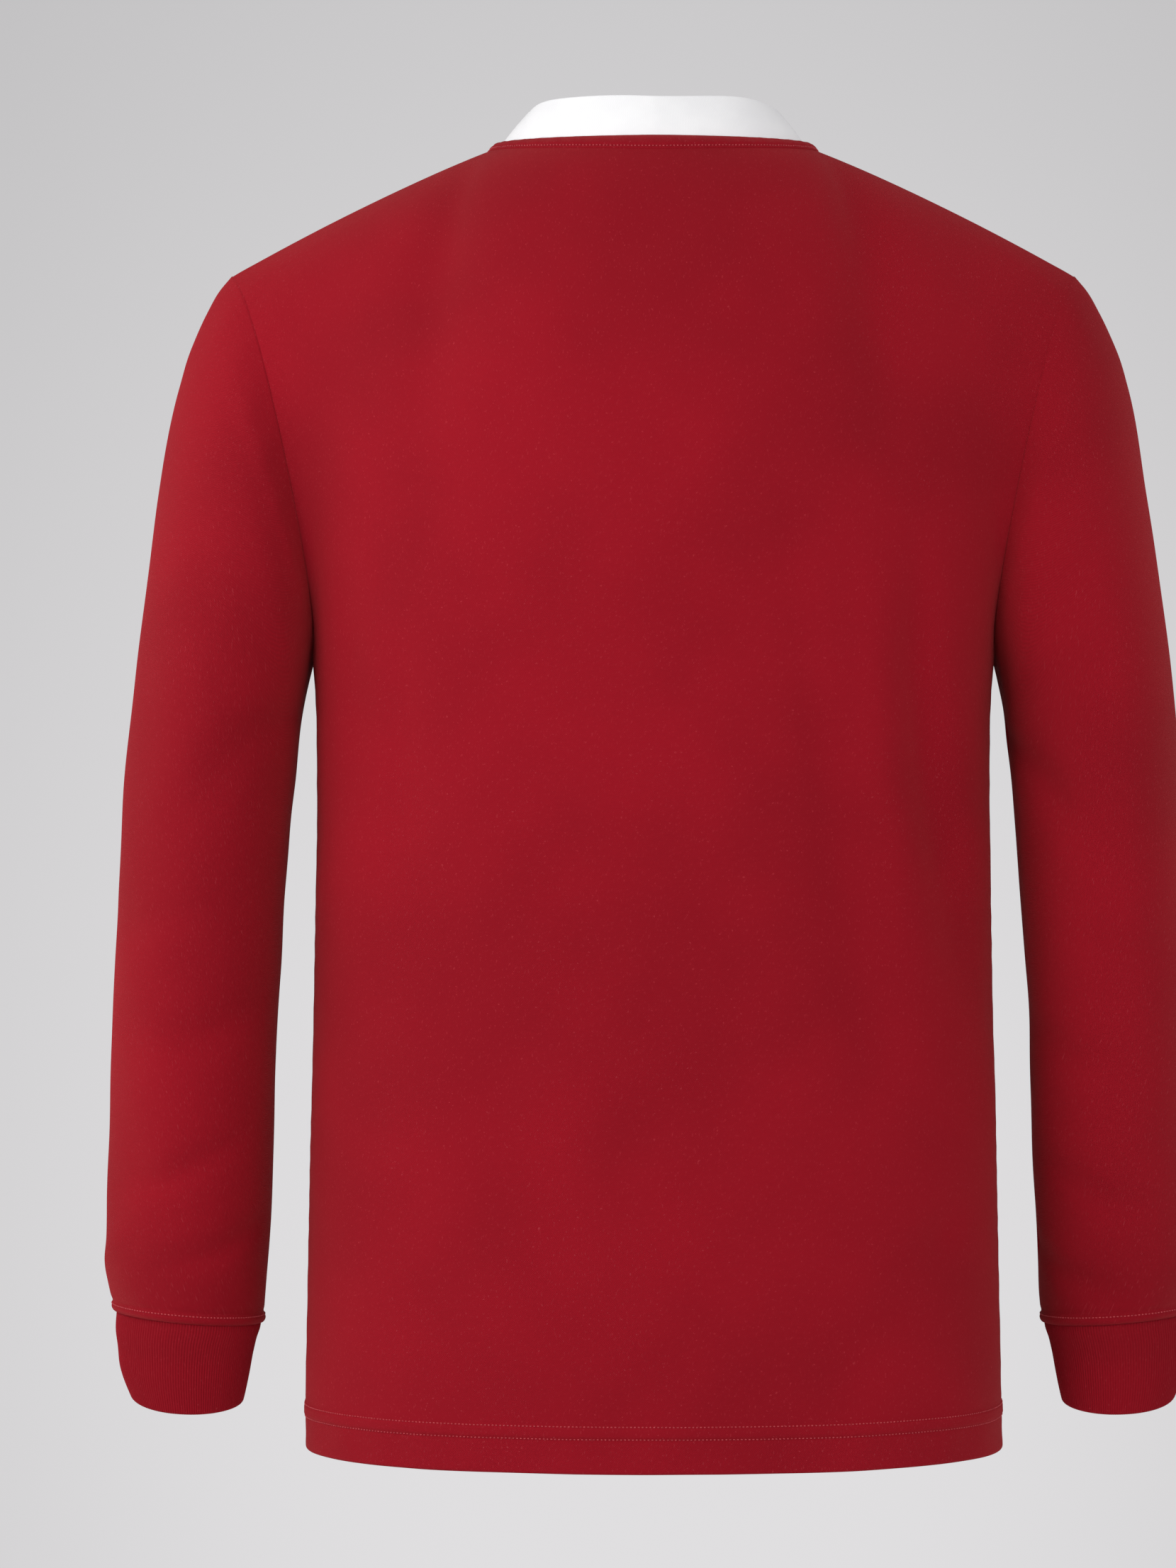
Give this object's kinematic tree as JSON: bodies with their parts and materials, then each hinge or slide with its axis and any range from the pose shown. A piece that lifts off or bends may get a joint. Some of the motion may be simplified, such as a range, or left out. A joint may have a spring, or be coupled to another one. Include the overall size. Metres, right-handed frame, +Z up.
{
  "type": "long-sleeved rugby shirt",
  "caption": "Hollow long-sleeved rugby shirt held as worn, with a standing band collar, set-in sleeves, rib cuffs and a short buttoned placket.",
  "frame": {"origin": "midway between the two side-neck points, where the wearer's neck and shoulders carry the shirt", "axes": "+Z up, the front faces -Y, the wearer's left is +X"},
  "size_m": [0.619, 0.2444, 0.7553],
  "materials": {
    "red_jersey": "matt cotton jersey",
    "red_rib": "matt fine rib knit",
    "white_twill": "matt cotton twill",
    "button_rubber": "plain moulded rubber"
  },
  "bodies": {
    "root": {"back": "red_jersey", "front": "red_jersey", "sleeve_left": "red_jersey", "sleeve_right": "red_jersey", "cuff_left": "red_rib", "cuff_right": "red_rib", "collar": "white_twill", "neck_binding": "red_jersey", "placket_upper": "white_twill", "placket_under": "white_twill", "button_1": "button_rubber", "button_2": "button_rubber", "button_3": "button_rubber"}
  },
  "joints": []
}
